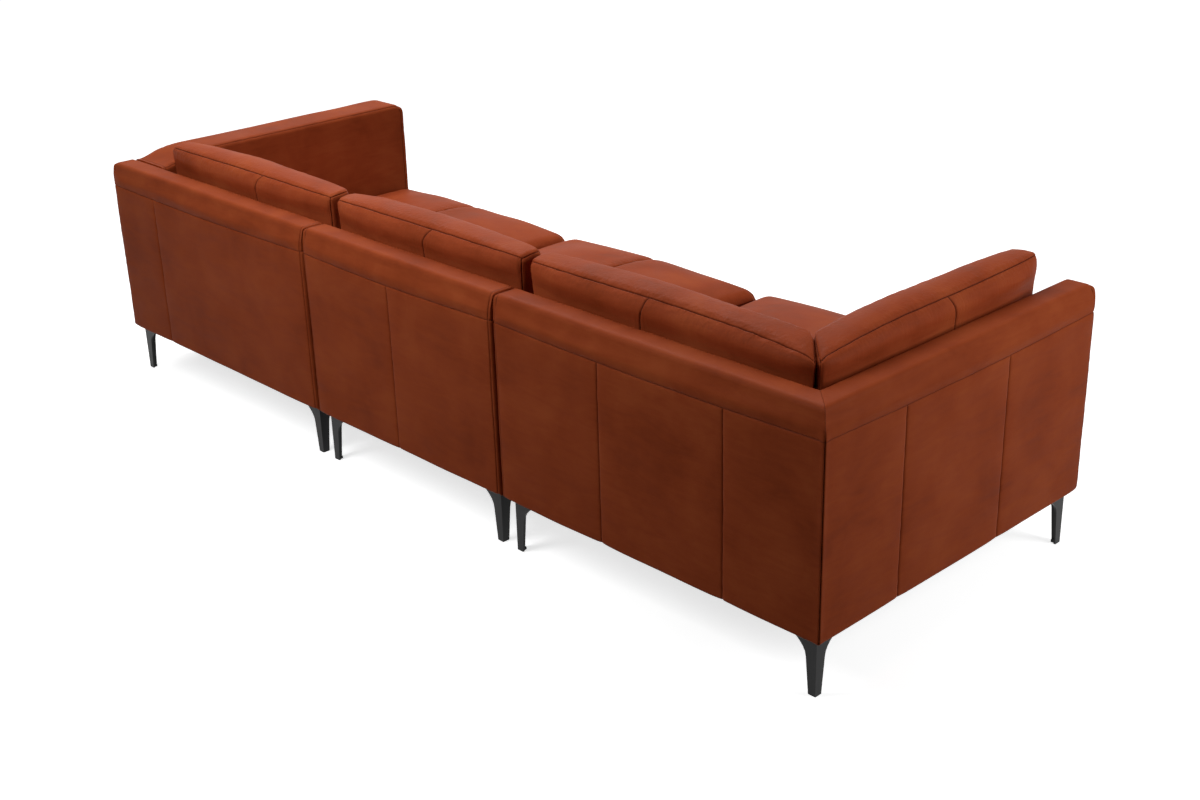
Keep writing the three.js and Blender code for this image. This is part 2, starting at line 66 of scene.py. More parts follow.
def linear(colour: str) -> tuple[float, float, float, float]:
    """Turns an sRGB hex colour into the linear values that a shader reads.

    Args:
        colour: Six hex digits after a hash.

    Returns:
        Red, green, blue and an alpha of 1.
    """
    levels = [int(colour[i : i + 2], 16) / 255 for i in (1, 3, 5)]
    red, green, blue = (v / 12.92 if v <= 0.04045 else ((v + 0.055) / 1.055) ** 2.4 for v in levels)
    return red, green, blue, 1.0


def read_points(piece: bpy.types.Object) -> np.ndarray:
    """Returns a piece's points, one row each."""
    flat = np.empty(len(piece.data.vertices) * 3)
    piece.data.vertices.foreach_get("co", flat)
    return flat.reshape(-1, 3)


def write_points(piece: bpy.types.Object, points: np.ndarray) -> None:
    """Puts a piece's points back."""
    piece.data.vertices.foreach_set("co", points.ravel())
    piece.data.update()


def point_normals(piece: bpy.types.Object) -> np.ndarray:
    """Returns the outward direction at each point."""
    flat = np.empty(len(piece.data.vertices) * 3)
    piece.data.vertex_normals.foreach_get("vector", flat)
    return flat.reshape(-1, 3)


def write_mask(piece: bpy.types.Object, name: str, values: np.ndarray) -> None:
    """Stores one number at each point, for the material to read."""
    layer = piece.data.attributes.new(name, "FLOAT", "POINT")
    layer.data.foreach_set("value", np.clip(values, 0, 1).astype(np.float32))


def select_only(piece: bpy.types.Object) -> None:
    """Makes a piece the only one selected, and the active one."""
    bpy.ops.object.select_all(action="DESELECT")
    piece.select_set(True)
    bpy.context.view_layer.objects.active = piece


def apply_modifier(piece: bpy.types.Object, kind: str, **settings: object) -> None:
    """Adds a modifier with its settings and applies it.

    Args:
        piece: The object to change.
        kind: The modifier's type.
        **settings: Its properties.
    """
    select_only(piece)
    modifier = piece.modifiers.new(kind.title(), kind)
    for key, value in settings.items():
        setattr(modifier, key, value)
    bpy.ops.object.modifier_apply(modifier=modifier.name)


def add_box(low: Sequence[float], high: Sequence[float]) -> bpy.types.Object:
    """Adds a plain box between two corners."""
    bpy.ops.object.select_all(action="DESELECT")
    middle = [(a + b) / 2 for a, b in zip(low, high)]
    bpy.ops.mesh.primitive_cube_add(size=1, location=middle, scale=[b - a for a, b in zip(low, high)])
    return bpy.context.object


def combine(piece: bpy.types.Object, other: bpy.types.Object, operation: str, solver: str) -> None:
    """Joins another object to a piece or cuts it out of the piece, and deletes the other one."""
    apply_modifier(piece, "BOOLEAN", object=other, operation=operation, solver=solver)
    bpy.data.objects.remove(other)


def edge_lines(radius: float, steps: int = 5) -> np.ndarray:
    """Distances from an edge at which grid lines make even steps round its curve."""
    return radius * (1 - np.tan(np.linspace(0, math.pi / 4, steps + 1)))


def grid_lines(length: float, rounds: Sequence[float], seams: Iterable[float], pitch: float) -> np.ndarray:
    """Places of the grid lines along one side of a block.

    Args:
        length: The side's length.
        rounds: The curve's reach at its start and at its end.
        seams: Places of sewn seams, which get close lines on both sides.
        pitch: The widest gap between lines elsewhere.

    Returns:
        The places, from zero to the length.
    """
    closest = 0.6 * MM
    beside = np.array([-14, -7, -3.2, -1.4, 0, 1.4, 3.2, 7, 14]) * MM
    places = [edge_lines(rounds[0]), length - edge_lines(rounds[1])]
    places += [seam + beside for seam in seams]
    places += [beside[4:], length - beside[4:]]
    kept = np.unique(np.round(np.concatenate(places), 5))
    kept = kept[(kept >= 0) & (kept <= round(length, 5))]
    kept = kept[np.concatenate([[True], np.diff(kept) > closest])]
    kept[-1] = length
    lines: list[float] = []
    for start, end in zip(kept, kept[1:]):
        count = max(1, round((end - start) / pitch))
        lines.extend(np.linspace(start, end, count, endpoint=False))
    return np.array([*lines, length])


def gridded_block(name: str, lines: Sequence[np.ndarray]) -> bpy.types.Object:
    """Makes a block from a cube that is subdivided along each axis to the given grid lines.

    Args:
        name: The piece's name.
        lines: The places of the grid lines on X, Y and Z.

    Returns:
        The block, with its place in its mesh.
    """
    block = add_box((-1, -1, -1), (1, 1, 1))
    bpy.ops.object.transform_apply(scale=True)
    block.name = block.data.name = name
    bpy.ops.object.mode_set(mode="EDIT")
    bpy.ops.mesh.select_mode(type="EDGE")
    for axis, places in enumerate(lines):
        bpy.ops.mesh.select_all(action="DESELECT")
        mesh = bmesh.from_edit_mesh(block.data)
        for edge in mesh.edges:
            run = edge.verts[0].co - edge.verts[1].co
            edge.select_set(abs(run[axis]) > 1)
        bmesh.update_edit_mesh(block.data)
        if len(places) > 2:
            bpy.ops.mesh.subdivide(number_cuts=len(places) - 2)
    bpy.ops.object.mode_set(mode="OBJECT")
    points = read_points(block)
    for axis, places in enumerate(lines):
        steps = np.rint((points[:, axis] + 1) / 2 * (len(places) - 1)).astype(int)
        points[:, axis] = places[steps]
    write_points(block, points)
    return block


def round_edge(a: np.ndarray, b: np.ndarray, radius: float | np.ndarray,
               reach: float | np.ndarray | None = None) -> tuple[np.ndarray, np.ndarray]:
    """Rounds the edge where two faces meet.

    Args:
        a: Distance of each point from the first face.
        b: Distance of each point from the second face.
        radius: The edge's radius, one for all points or one for each.
        reach: How far the curve runs along the first face, where that isn't the radius.

    Returns:
        The two distances once the edge is round.
    """
    reach = radius if reach is None else reach
    u = 1 - np.clip(a / radius, 0, 1)
    v = 1 - np.clip(b / reach, 0, 1)
    pull = np.maximum(u, v) / np.maximum(np.hypot(u, v), 1e-9)
    return np.where(u > 0, radius * (1 - u * pull), a), np.where(v > 0, reach * (1 - v * pull), b)


def round_block(points: np.ndarray, size: Sequence[float], radii: Sequence[float]) -> np.ndarray:
    """Rounds all twelve edges of a block.

    Args:
        points: The block's points, from its low corner.
        size: Its sides.
        radii: The radius of the edges along Y, of those along X, and of the upright ones.

    Returns:
        The points once the edges are round.
    """
    rounded = points.T.copy()
    for (a, b), radius in zip(((0, 2), (1, 2), (0, 1)), radii):
        for _ in range(2):
            for _ in range(2):
                rounded[a], rounded[b] = round_edge(rounded[a], rounded[b], radius)
                rounded[a] = size[a] - rounded[a]
            rounded[b] = size[b] - rounded[b]
    return rounded.T


def ripples(points: np.ndarray, wavelength: float, seed: int) -> np.ndarray:
    """Returns a smooth uneven field of about -1 to 1, with waves of about that length."""
    rng = np.random.default_rng(seed)
    count = 9
    ways = rng.normal(size=(count, 3))
    ways /= np.linalg.norm(ways, axis=1, keepdims=True)
    turns = 2 * math.pi / (wavelength * rng.uniform(0.7, 1.5, count))
    phases = rng.uniform(0, 2 * math.pi, count)
    return np.sin(points @ (ways * turns[:, None]).T + phases).sum(1) / math.sqrt(count)


def smooth_step(x: np.ndarray) -> np.ndarray:
    """Returns 0 below 0, 1 above 1 and a smooth rise between."""
    t = np.clip(x, 0, 1)
    return t * t * (3 - 2 * t)


def bell(distance: np.ndarray, reach: float) -> np.ndarray:
    """Returns 1 at no distance and a smooth fall to 0 past the reach."""
    return np.exp(-((distance / reach) ** 2))


def crown(share: np.ndarray, power: float = 2.6) -> np.ndarray:
    """Returns how much of a crown's height stands at a share of the way to its edge."""
    return 1 - np.minimum(np.abs(share), 1) ** power


def place_piece(piece: bpy.types.Object, matrix: Matrix) -> None:
    """Moves a piece's mesh from its own frame to the sofa's."""
    piece.data.transform(matrix)
    piece.data.update()


# ---- Finishes


def add_node(tree: bpy.types.NodeTree, kind: str, links: dict | None = None, **settings: object) -> bpy.types.Node:
    """Adds a shader node with its settings and links.

    Args:
        tree: The material's or world's node tree.
        kind: The node's type.
        links: Input sockets, each by name or number with the socket that feeds it, or with its value.
        **settings: The node's own properties.

    Returns:
        The new node.
    """
    node = tree.nodes.new(kind)
    for key, value in settings.items():
        setattr(node, key, value)
    for key, value in (links or {}).items():
        if isinstance(value, bpy.types.NodeSocket):
            tree.links.new(value, node.inputs[key])
        else:
            node.inputs[key].default_value = value
    return node


def new_material(name: str) -> tuple[bpy.types.Material, bpy.types.NodeTree, bpy.types.NodeSocket]:
    """Starts a material.

    Args:
        name: Its name.

    Returns:
        The material, its node tree and the coordinates of the piece that wears it.
    """
    material = bpy.data.materials.new(name)
    material.use_nodes = True
    tree = material.node_tree
    tree.nodes.clear()
    return material, tree, add_node(tree, "ShaderNodeTexCoord").outputs["Object"]


def end_material(tree: bpy.types.NodeTree, surface: dict[str, object]) -> None:
    """Adds the shader with its inputs, and the material's output."""
    shader = add_node(tree, "ShaderNodeBsdfPrincipled", surface)
    add_node(tree, "ShaderNodeOutputMaterial", {0: shader.outputs[0]})


def add_bump(tree: bpy.types.NodeTree, height: bpy.types.NodeSocket, strength: float, distance: float,
             under: bpy.types.NodeSocket | None = None) -> bpy.types.NodeSocket:
    """Adds a bump.

    Args:
        tree: The node tree.
        height: The relief that it reads.
        strength: How much of the relief shows.
        distance: How high the relief stands.
        under: The normal of a coarser bump that it lies on.

    Returns:
        The bumped normal.
    """
    links = {"Height": height, "Strength": strength, "Distance": distance}
    if under is not None:
        links["Normal"] = under
    return add_node(tree, "ShaderNodeBump", links).outputs[0]


def colour_ramp(tree: bpy.types.NodeTree, factor: bpy.types.NodeSocket,
                stops: Sequence[tuple[float, str]]) -> bpy.types.NodeSocket:
    """Adds a ramp through sRGB colours.

    Args:
        tree: The node tree.
        factor: What the ramp reads.
        stops: Positions and hex colours, at least two.

    Returns:
        The ramp's colour.
    """
    ramp = add_node(tree, "ShaderNodeValToRGB", {0: factor})
    elements = ramp.color_ramp.elements
    for _ in stops[2:]:
        elements.new(0.5)
    for element, (position, colour) in zip(elements, stops):
        element.position = position
        element.color = linear(colour)
    return ramp.outputs[0]


@dataclass(frozen=True)
class SemiAnilineLeather:
    """Semi-aniline cowhide, drum dyed and lightly waxed.

    The dye goes through and the thin clear finish leaves the hide's own clouds, growth lines and
    pebbled grain to be seen, with a soft, low shine.
    """

    name: str
    deep: str = "#80361a"
    middle: str = "#8f3f20"
    light: str = "#9a4826"
    # Painted shade: the dark colour mixed into the seam grooves, where shade falls.
    seam: str = "#34100a"
    cloud: float = 0.16
    growth_line: float = 0.022
    crease: float = 9 * MM
    pebble: float = 2.6 * MM
    roughness: float = 0.52

    def build(self) -> bpy.types.Material:
        """Returns the leather's material."""
        material, tree, place = new_material(self.name)
        slant = add_node(tree, "ShaderNodeMapping", {0: place, "Rotation": (0.5, 0.3, 0.6), "Scale": (1, 1, 5)})
        clouds = add_node(tree, "ShaderNodeTexNoise", {"Vector": place, "Scale": 1 / self.cloud, "Detail": 5.0,
                                                       "Roughness": 0.55, "Distortion": 0.3})
        growth = add_node(tree, "ShaderNodeTexNoise", {"Vector": slant.outputs[0], "Scale": 0.2 / self.growth_line,
                                                       "Detail": 6.0, "Roughness": 0.62, "Distortion": 0.8})
        grain = add_node(tree, "ShaderNodeTexVoronoi", {"Vector": place, "Scale": 1 / self.pebble},
                         feature="SMOOTH_F1")
        tone = add_node(tree, "ShaderNodeMix", {"Factor": 0.35, "A": clouds.outputs["Fac"],
                                                "B": growth.outputs["Fac"]}, data_type="FLOAT")
        hide = colour_ramp(tree, tone.outputs[0], [(0.34, self.deep), (0.5, self.middle), (0.66, self.light)])
        # The seam mask mixes the dark seam colour in as painted shade along the seam grooves.
        seam_shade = add_node(tree, "ShaderNodeAttribute", attribute_name="seam").outputs["Fac"]
        surface = add_node(tree, "ShaderNodeMix", {"Factor": seam_shade, "A": hide, "B": linear(self.seam)},
                           data_type="RGBA")
        rough = add_node(tree, "ShaderNodeMapRange", {"Value": growth.outputs["Fac"], 1: 0.3, 2: 0.7,
                                                      3: self.roughness - 0.06, 4: self.roughness + 0.07})
        relief = add_node(tree, "ShaderNodeMix", {"Factor": 0.72, "A": grain.outputs["Distance"],
                                                  "B": growth.outputs["Fac"]}, data_type="FLOAT")
        upright = add_node(tree, "ShaderNodeMapping", {0: place, "Rotation": (0.1, 0.16, 0), "Scale": (1, 1, 0.16)})
        drawn = add_node(tree, "ShaderNodeTexNoise", {"Vector": upright.outputs[0], "Scale": 1 / self.crease,
                                                      "Detail": 3.0, "Distortion": 0.4})
        tension = add_node(tree, "ShaderNodeAttribute", attribute_name="tension").outputs["Fac"]
        creases = add_node(tree, "ShaderNodeMath", {0: drawn.outputs["Fac"], 1: tension}, operation="MULTIPLY")
        pulled = add_bump(tree, creases.outputs[0], 0.8, 4 * MM)
        end_material(tree, {
            "Base Color": surface.outputs[2], "Roughness": rough.outputs[0], "IOR": 1.46,
            "Specular IOR Level": 0.03, "Normal": add_bump(tree, relief.outputs[0], 0.35, 1.6 * MM, pulled),
        })
        return material


@dataclass(frozen=True)
class PowderCoatedCasting:
    """Die-cast zinc alloy, powder coated satin black, with the coating's fine orange peel."""

    name: str
    dark: str = "#080809"
    light: str = "#111112"
    peel: float = 1.8 * MM

    def build(self) -> bpy.types.Material:
        """Returns the coated metal's material."""
        material, tree, place = new_material(self.name)
        fleck = add_node(tree, "ShaderNodeTexNoise", {"Vector": place, "Scale": 1 / self.peel, "Detail": 3.0})
        colour = colour_ramp(tree, fleck.outputs["Fac"], [(0.35, self.dark), (0.7, self.light)])
        end_material(tree, {
            "Base Color": colour, "Roughness": 0.42, "Specular IOR Level": 0.2,
            "Normal": add_bump(tree, fleck.outputs["Fac"], 0.25, 0.2 * MM),
        })
        return material


@dataclass(frozen=True)
class ZincPlatedSteel:
    """Pressed mild steel plate, bright zinc plated, with the spangle of the bath."""

    name: str
    dull: str = "#8b9096"
    bright: str = "#b3b8bd"
    spangle: float = 6 * MM

    def build(self) -> bpy.types.Material:
        """Returns the plated steel's material."""
        material, tree, place = new_material(self.name)
        flakes = add_node(tree, "ShaderNodeTexVoronoi", {"Vector": place, "Scale": 1 / self.spangle})
        tone = add_node(tree, "ShaderNodeSeparateColor", {0: flakes.outputs["Color"]})
        colour = colour_ramp(tree, tone.outputs[0], [(0.0, self.dull), (1.0, self.bright)])
        rough = add_node(tree, "ShaderNodeMapRange", {"Value": tone.outputs[1], 3: 0.3, 4: 0.46})
        end_material(tree, {"Base Color": colour, "Roughness": rough.outputs[0], "Metallic": 1.0})
        return material


@dataclass(frozen=True)
class SawnSpruce:
    """Kiln-dried spruce boards, sawn and planed, left raw: pale, with straight darker growth rings."""

    name: str
    early: str = "#d6ba8c"
    late: str = "#c4a06b"
    ring: float = 5 * MM

    def build(self) -> bpy.types.Material:
        """Returns the timber's material."""
        material, tree, place = new_material(self.name)
        along = add_node(tree, "ShaderNodeMapping", {0: place, "Scale": (0.12, 0.4, 1)})
        rings = add_node(tree, "ShaderNodeTexWave", {"Vector": along.outputs[0], "Scale": math.pi / (10 * self.ring),
                                                     "Distortion": 3.0, "Detail": 3.0, "Detail Scale": 0.6},
                         bands_direction="Z")
        colour = colour_ramp(tree, rings.outputs["Fac"], [(0.2, self.early), (0.95, self.late)])
        end_material(tree, {"Base Color": colour, "Roughness": 0.72,
                            "Normal": add_bump(tree, rings.outputs["Fac"], 0.2, 0.3 * MM)})
        return material


@dataclass(frozen=True)
class WovenCloth:
    """A plain weave of coarse dull yarn, used for the elastic webbing and for the dust cloths."""

    name: str
    warp: str
    weft: str
    thread: float

    def build(self) -> bpy.types.Material:
        """Returns the cloth's material."""
        material, tree, place = new_material(self.name)
        scale = 1 / (self.thread * 2 * math.pi)
        across = add_node(tree, "ShaderNodeTexWave", {"Vector": place, "Scale": scale}, bands_direction="X")
        along = add_node(tree, "ShaderNodeTexWave", {"Vector": place, "Scale": scale}, bands_direction="Y")
        weave = add_node(tree, "ShaderNodeMath", {0: across.outputs["Fac"], 1: along.outputs["Fac"]},
                         operation="MULTIPLY")
        colour = colour_ramp(tree, weave.outputs[0], [(0.0, self.warp), (1.0, self.weft)])
        end_material(tree, {"Base Color": colour, "Roughness": 0.9, "Sheen Weight": 0.2,
                            "Normal": add_bump(tree, weave.outputs[0], 0.5, 0.4 * MM)})
        return material


@dataclass
class Finishes:
    """Every finish of the sofa, built once."""

    cover_leather: bpy.types.Material = field(
        default_factory=lambda: SemiAnilineLeather("Cover leather, semi-aniline").build())
    # Painted light: a lighter copy of the cover leather, standing in for the stronger light on the cushions.
    cushion_leather: bpy.types.Material = field(
        default_factory=lambda: SemiAnilineLeather("Cushion leather, semi-aniline", deep="#85391c",
                                                   middle="#944123", light="#9f4b29", roughness=0.5).build())
    cast_metal: bpy.types.Material = field(
        default_factory=lambda: PowderCoatedCasting("Cast legs, powder coated").build())
    bracket_steel: bpy.types.Material = field(
        default_factory=lambda: ZincPlatedSteel("Hook plates, zinc plated").build())
    timber: bpy.types.Material = field(
        default_factory=lambda: SawnSpruce("Frame timber, sawn spruce").build())
    webbing: bpy.types.Material = field(
        default_factory=lambda: WovenCloth("Elastic webbing, woven", "#2c2722", "#4b423a", 2.4 * MM).build())
    dust_cloth: bpy.types.Material = field(
        default_factory=lambda: WovenCloth("Dust cloth, woven", "#151516", "#26262a", 1.6 * MM).build())


def finish_piece(piece: bpy.types.Object, material: bpy.types.Material, node: str,
                 body: str) -> bpy.types.Object:
    """Gives a finished piece its material, and ties it to the frame.

    Args:
        piece: The piece, with its place in its mesh.
        material: Its finish.
        node: The CAD node that it stands for.
        body: The body that it rides on.

    Returns:
        The piece.
    """
    piece.data.materials.clear()
    piece.data.materials.append(material)
    select_only(piece)
    bpy.ops.object.shade_smooth_by_angle(angle=math.radians(42))
    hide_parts(node)
    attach(piece, body)
    log.info("%s: %d faces, rides on %s", piece.name, len(piece.data.polygons), body)
    return piece


# ---- Covers


class Facing(Enum):
    """Which way a wall's outer face looks."""

    BACK = "back"
    CORNER_SIDE = "corner side"
    ARM_SIDE = "arm side"


class Mitre(Enum):
    """The end of a wall that is cut at 45 degrees to meet the next wall."""

    NONE = "none"
    START = "start"
    END = "end"


@dataclass
class Stitching:
    """How deep leather dips into a sewn seam, how it swells beside it, and the painted shade in its groove."""

    groove: float = 1.7 * MM
    groove_reach: float = 1.5 * MM
    swell: float = 1.9 * MM
    swell_reach: float = 13 * MM
    pucker: float = 0.5 * MM
    pucker_length: float = 26 * MM
    waves: float = 0.9 * MM
    wave_length: float = 0.21

    def dip(self, points: np.ndarray, distance: np.ndarray, seed: int) -> np.ndarray:
        """Returns how far each point lies inside the plain shape.

        Args:
            points: The points, in the piece's own frame.
            distance: Each point's distance to the nearest seam.
            seed: What makes this piece's unevenness its own.

        Returns:
            The distance inwards at each point.
        """
        near = np.exp(-distance / self.swell_reach)
        deep = self.groove * bell(distance, self.groove_reach)
        uneven = self.waves * (0.5 + 0.5 * ripples(points, self.wave_length, seed))
        return deep + self.swell * near + self.pucker * near * ripples(points, self.pucker_length, seed + 1) + uneven

    def mark(self, distance: np.ndarray) -> np.ndarray:
        """Returns the painted shade in the seam's groove: 1 in the seam and 0 away from it."""
        return bell(distance, 0.8 * self.groove_reach)


@dataclass
class WallCover:
    """A padded leather cover over a wall's frame, with a yoke seam and upright panel seams.

    Its own frame has X along the wall, Y from the outer face inwards and Z up from the hem.
    """

    node: str
    body: str
    facing: Facing
    panels: tuple[float, ...]
    seed: int
    mitre: Mitre = Mitre.NONE
    yoke: float = 0.064
    yoke_sag: float = 0.007
    sag_reach: float = 0.04
    outer_round: float = 0.024
    outer_reach: float = 0.050
    yoke_lean: float = 0.006
    lean_start: float = 0.002
    lean_fade: float = 0.03
    inner_round: float = 0.012
    hem_round: float = 0.008
    end_round: float = 0.012
    welt_round: float = 0.005
    toe_round: float = 0.0
    toe_depth: float = 0.012
    brow_round: float = 0.010
    top_drop: float = 0.0
    ramp: float = 0.13
    ramp_round: float = 0.022
    ramp_tighten: float = 0.6
    puff: float = 0.003
    puff_drop: float = 0.045
    puff_spread: float = 0.013
    puff_fade: float = 0.05
    puff_length: float = 0.3
    corner_ease: float = 0.65
    ease_reach: float = 0.03
    ease_depth: float = 0.05
    outer_padding: float = 0.010
    inner_padding: float = 0.016
    top_padding: float = 0.024
    foot_height: float = 0.0978
    foot_open: bool = False
    inner_edge_seam: bool = False
    mitre_tip: float = 0.0021
    mitre_reach: float = 0.2
    mitre_press: float = 20 * MM
    end_seam: float = 0.009
    # How strong the painted shade in the seam grooves is on the covers.
    seam_shade_strength: float = 0.62
    pitch: float = 14 * MM
    cross_pitch: float = 12 * MM
    stitching: Stitching = field(default_factory=Stitching)

    def size(self) -> tuple[float, float, float]:
        """Returns the length, thickness and height of the cover, with its mitre's point left sharp."""
        low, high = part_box(self.node)
        across = high - low
        length, thickness = (across.x, across.y) if self.facing is Facing.BACK else (across.y, across.x)
        return length + (self.mitre_tip if self.mitre is not Mitre.NONE else 0.0), thickness, across.z

    def to_sofa(self) -> Matrix:
        """Returns the matrix from the cover's own frame to the sofa's."""
        low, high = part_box(self.node)
        tip = self.mitre_tip if self.mitre is Mitre.START else 0.0
        corner, turn = {
            Facing.BACK: (Vector((high.x, high.y, low.z)), 180),
            Facing.CORNER_SIDE: (Vector((low.x, high.y + tip, low.z)), -90),
            Facing.ARM_SIDE: (Vector((high.x, low.y, low.z)), 90),
        }[self.facing]
        return Matrix.Translation(corner) @ Matrix.Rotation(math.radians(turn), 4, "Z")

    def seam_distance(self, raw: np.ndarray) -> np.ndarray:
        """Returns each point's distance to the nearest seam, from its place on the plain block."""
        length, thickness, height = self.size()
        s, d, h = raw.T
        yoke = height - self.yoke
        outer = np.where((d < ON_FACE) | (h < ON_FACE), 0.0, FAR)
        ends = (s < ON_FACE) | (s > length - ON_FACE)
        best = np.where((d < ON_FACE) | ends, np.abs(h - yoke), FAR)
        for place in self.panels:
            best = np.minimum(best, np.hypot(s - place, np.maximum(0, h - yoke)) + outer)
        rim = np.minimum(np.minimum(d, height - h), thickness - d)
        for end, mitred in ((s, self.mitre is Mitre.START), (length - s, self.mitre is Mitre.END)):
            best = np.minimum(best, np.where(ends, FAR, end) if mitred else np.abs(end - self.end_seam))
        best = np.minimum(best, np.where(ends, rim + self.end_seam, FAR))
        if self.inner_edge_seam:
            inner = (thickness - d < ON_FACE) & (s > ON_FACE)
            top = height - h < ON_FACE
            best = np.minimum(best, np.where(inner, height - h, np.where(top, thickness - d, FAR)))
        return best

    def browed_ends(self) -> tuple[bool, bool]:
        """Returns whether the top's edge is rounded off at the start and at the far end."""
        plain_back = self.facing is Facing.BACK and self.mitre is not Mitre.END
        return self.mitre is not Mitre.START, plain_back or self.facing is Facing.CORNER_SIDE

    def shape(self, raw: np.ndarray) -> np.ndarray:
        """Returns the points of the rounded, mitred cover for the points of the plain block."""
        length, thickness, height = self.size()
        s, d, h = (raw[:, axis].copy() for axis in range(3))
        first = self.welt_round if self.mitre is Mitre.START else self.end_round
        last = self.welt_round if self.mitre is Mitre.END else self.end_round
        sag = self.yoke_sag * np.sin(math.pi * s / length) * bell(h - height + self.yoke, self.sag_reach)
        h = h - np.where(d < ON_FACE, sag, 0)
        lean = self.yoke_lean * np.clip((h - height + self.yoke) / self.yoke, 0, 1)
        ramped = s - length + self.ramp
        tight = smooth_step(ramped / (self.ramp_tighten * self.ramp)) if self.top_drop else 0.0
        d, below = round_edge(d, height - h, self.outer_round + (self.ramp_round - self.outer_round) * tight,
                              self.outer_reach + (self.ramp_round - self.outer_reach) * tight)
        inside, below = round_edge(thickness - d, below, self.inner_round)
        d, h = round_edge(thickness - inside, height - below, self.hem_round)
        d = d + lean * (1 - np.clip(d / thickness, 0, 1)) * smooth_step((below + self.lean_start) / self.lean_fade)
        s, d = round_edge(s, d, first)
        back, d = round_edge(length - s, d, last)
        s = length - back
        for far, browed in enumerate(self.browed_ends()):
            if browed:
                along, below = round_edge(length - s if far else s, height - h, self.brow_round)
                s, h = length - along if far else along, height - below
        if self.toe_round:
            far_end = self.facing is Facing.CORNER_SIDE
            along, h = round_edge(length - s if far_end else s, h, self.toe_depth, self.toe_round)
            s = length - along if far_end else along
        if self.mitre is Mitre.START:
            s = s + d * np.clip(1 - s / self.mitre_reach, 0, 1)
        if self.mitre is Mitre.END:
            s = s - d * np.clip(1 - (length - s) / self.mitre_reach, 0, 1)
        if self.top_drop:
            upper = np.clip((h / height - 0.5) / 0.5, 0, 1)
            h = h - self.top_drop * smooth_step((s - (length - self.ramp)) / self.ramp) * upper
        return np.stack([s, d, h], axis=1)

    def hollow_out(self, cover: bpy.types.Object) -> None:
        """Cuts the space for the wall's frame, and the foot's for the base frame."""
        length, thickness, height = self.size()
        over = 0.02
        start = -over if self.mitre is Mitre.START else self.outer_padding
        end = length + over if self.mitre is Mitre.END else length - self.outer_padding
        foot_end = length + over if self.foot_open else end
        cuts = [
            ((start, self.outer_padding, -over), (end, thickness - self.inner_padding, height - self.top_padding)),
            ((start, self.outer_padding, -over), (foot_end, thickness + over, self.foot_height)),
        ]
        for low, high in cuts:
            combine(cover, add_box(low, high), "DIFFERENCE", "MANIFOLD")

    def build(self, finishes: Finishes) -> bpy.types.Object:
        """Makes the cover.

        Args:
            finishes: The sofa's finishes.

        Returns:
            The finished piece.
        """
        length, thickness, height = self.size()
        top = height - edge_lines(self.outer_reach)
        yoke = height - self.yoke
        lines = [
            grid_lines(length, (self.end_round, self.end_round),
                       (*self.panels, self.end_seam, length - self.end_seam), self.pitch),
            grid_lines(thickness, (self.outer_round, self.inner_round), [], self.cross_pitch),
            grid_lines(height, (self.hem_round, self.inner_round), [yoke, *top[1:-1:2]], self.pitch),
        ]
        cover = gridded_block(f"{self.node}_leather", lines)
        raw = read_points(cover)
        distance = self.seam_distance(raw)
        write_points(cover, self.shape(raw))
        points = read_points(cover)
        start, far, under = raw[:, 0], length - raw[:, 0], height - raw[:, 2]
        end = np.minimum(start, far)
        dip = self.stitching.dip(points, distance, self.seed)
        outer = np.where(raw[:, 1] < ON_FACE, smooth_step(end / self.puff_fade), 0)
        uneven = 1 + 0.5 * ripples(points, self.puff_length, self.seed + 2)
        dip = dip - outer * self.puff * bell(under - self.puff_drop, self.puff_spread) * uneven
        dip = dip * (1 - self.corner_ease * bell(end, self.ease_reach) * bell(under, self.ease_depth))
        for end, mitre in ((start, Mitre.START), (far, Mitre.END)):
            if self.mitre is mitre:
                dip = dip * smooth_step(end / self.mitre_press)
        write_points(cover, points - point_normals(cover) * dip[:, None])
        # Painted shade along the seam grooves, at the covers' weaker strength.
        write_mask(cover, "seam", self.seam_shade_strength * self.stitching.mark(distance))
        self.hollow_out(cover)
        place_piece(cover, self.to_sofa())
        return finish_piece(cover, finishes.cover_leather, self.node, self.body)


@dataclass
class RailBand:
    """A padded strip of leather over a base rail."""

    node: str
    body: str
    seed: int
    edge_round: float = 0.005
    corner_round: float = 0.0015
    wrap: float = 0.0014
    tucks: tuple[float, float] = (0.0, 0.0)
    pitch: float = 16 * MM
    stitching: Stitching = field(default_factory=lambda: Stitching(waves=0.4 * MM, swell=0.8 * MM, groove=0.8 * MM))

    def build(self, finishes: Finishes) -> bpy.types.Object:
        """Makes the band from its CAD node's box, with its top drawn up to the cushion and its rear edges square.

        Args:
            finishes: The sofa's finishes.

        Returns:
            The finished piece.
        """
        low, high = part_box(self.node)
        low, high = low - Vector((self.tucks[0], 0, 0)), high + Vector((self.tucks[1], 0, 0))
        size = np.array(high - low) + np.array([0, 0, self.wrap])
        thin = int(np.argmin(size[:2]))
        shift = np.zeros(3)
        shift[thin] = self.edge_round if self.node.endswith("right_band") else 0.0
        deep = size.copy()
        deep[thin] += self.edge_round
        radii = [self.edge_round] * 3
        radii[1 - thin] = self.corner_round
        lines = [grid_lines(side, (self.edge_round, self.edge_round), [], self.pitch) for side in size]
        band = gridded_block(f"{self.node}_leather", lines)
        raw = read_points(band)
        points = round_block(raw + shift, deep, radii) - shift
        write_points(band, points)
        distance = np.sort(np.minimum(raw, size - raw), axis=1)[:, 1]
        outer = (size - raw if shift[thin] else raw)[:, thin] < ON_FACE
        dip = np.where(outer, self.stitching.dip(points, distance, self.seed), 0)
        write_points(band, points - point_normals(band) * dip[:, None] + np.array(low))
        # The bands get no painted seam shade.
        write_mask(band, "seam", np.zeros(len(points)))
        return finish_piece(band, finishes.cover_leather, self.node, self.body)


# ---- Cushions


class Pose(Enum):
    """How a cushion lies: on the deck, or on end against a wall."""

    SEAT = "seat"
    BACK = "back"
    SIDE = "side"


